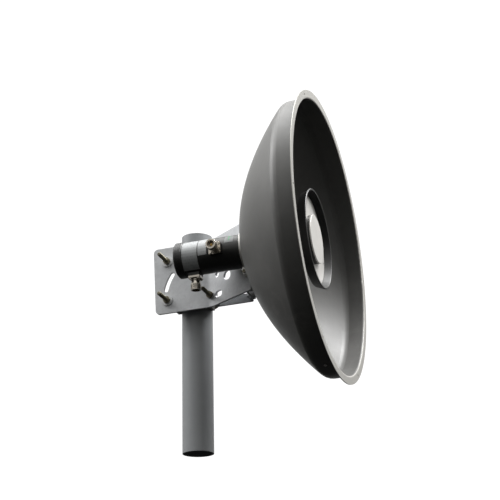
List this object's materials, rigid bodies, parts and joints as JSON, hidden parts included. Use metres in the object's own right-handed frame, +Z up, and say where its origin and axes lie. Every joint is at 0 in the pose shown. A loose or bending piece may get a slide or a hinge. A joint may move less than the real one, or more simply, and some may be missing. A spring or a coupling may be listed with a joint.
{
  "type": "parabolic antenna",
  "caption": "Solid spun parabolic antenna with a splash-plate feed and coaxial ports, on a bent side bracket clamped to a round mast; swivels, tilts, and the feed turns.",
  "frame": {"origin": "centre of the mast tube's foot, on the mast axis", "axes": "+Z up the mast, +X the way the dish looks, -Y the side of the mast that the dish hangs on"},
  "size_m": [0.3211, 0.452, 0.5188],
  "materials": {
    "mast_paint": "satin grey paint",
    "cap_plastic": "grey moulded plastic",
    "saddle_metal": "cast, dull",
    "olive_zinc": "olive-brown passivated zinc",
    "bright_zinc": "bright zinc plating",
    "galvanised": "galvanised sheet, fine spangle",
    "weld_metal": "galvanised weld bead",
    "dish_paint": "matt dark grey powder coat, bare front rim face",
    "bare_aluminium": "bare, lightly brushed",
    "black_anodised": "black anodised",
    "black_plastic": "black moulded plastic",
    "rubber": "seal rubber",
    "nickel": "nickel plating",
    "ptfe": "white fluoropolymer",
    "gold": "gold plated",
    "label_silver": "silver film label",
    "label_clear": null
  },
  "bodies": {
    "mast": {"mast_tube": "mast_paint", "mast_cap": "cap_plastic"},
    "clamp": {"saddle_upper": "saddle_metal", "saddle_lower": "saddle_metal", "u_bolt_upper": "olive_zinc", "u_bolt_lower": "olive_zinc", "clamp_washers": "bright_zinc", "clamp_nuts": "olive_zinc"},
    "tilt": {"side_bracket": "galvanised", "brace_bars": "galvanised", "mount_plate": "galvanised", "weld_beads": "weld_metal", "reflector": "dish_paint", "drain_plug": "bare_aluminium", "spacer_sleeves": "bare_aluminium", "wedge_washers": "bare_aluminium", "dish_bolts": "bright_zinc", "dish_nuts": "bright_zinc", "brace_bolts": "bright_zinc", "brace_nuts": "bright_zinc", "feed_collar": "bare_aluminium", "pinch_bolt": "olive_zinc", "pinch_nut": "olive_zinc", "collar_screws": "bright_zinc"},
    "feed": {"feed_tube": "black_anodised", "rear_cap": "black_plastic", "cap_seal": "rubber", "vent_plug": "black_plastic", "backshort": "bare_aluminium", "cross_rods": "bare_aluminium", "h_connector": "nickel", "v_connector": "nickel", "connector_pads": "black_anodised", "connector_insulators": "ptfe", "connector_contacts": "gold", "connector_screws": "nickel", "splash_support": "black_plastic", "subreflector_ring": "black_plastic", "subreflector_plate": "bare_aluminium", "plate_rivets": "black_plastic", "support_screws": "nickel", "hub_cap": "bare_aluminium", "rating_label": "label_silver", "code_label": "label_silver", "arrow_label": "label_clear"}
  },
  "joints": [
    {"name": "azimuth_swivel", "type": "hinge", "parent": "mast", "child": "clamp", "pos_m": [0, 0, 0.244], "axis": [0, 0, 1], "continuous": true},
    {"name": "elevation_tilt", "type": "hinge", "parent": "clamp", "child": "tilt", "pos_m": [0.0365, -0.04, 0.244], "axis": [0, -1, 0], "range_deg": [-3, 1.2]},
    {"name": "polarisation_turn", "type": "hinge", "parent": "tilt", "child": "feed", "pos_m": [0.05848, -0.105, 0.28583], "axis": [-0.9993, 0, -0.0366], "range_deg": [-10, 90]}
  ]
}
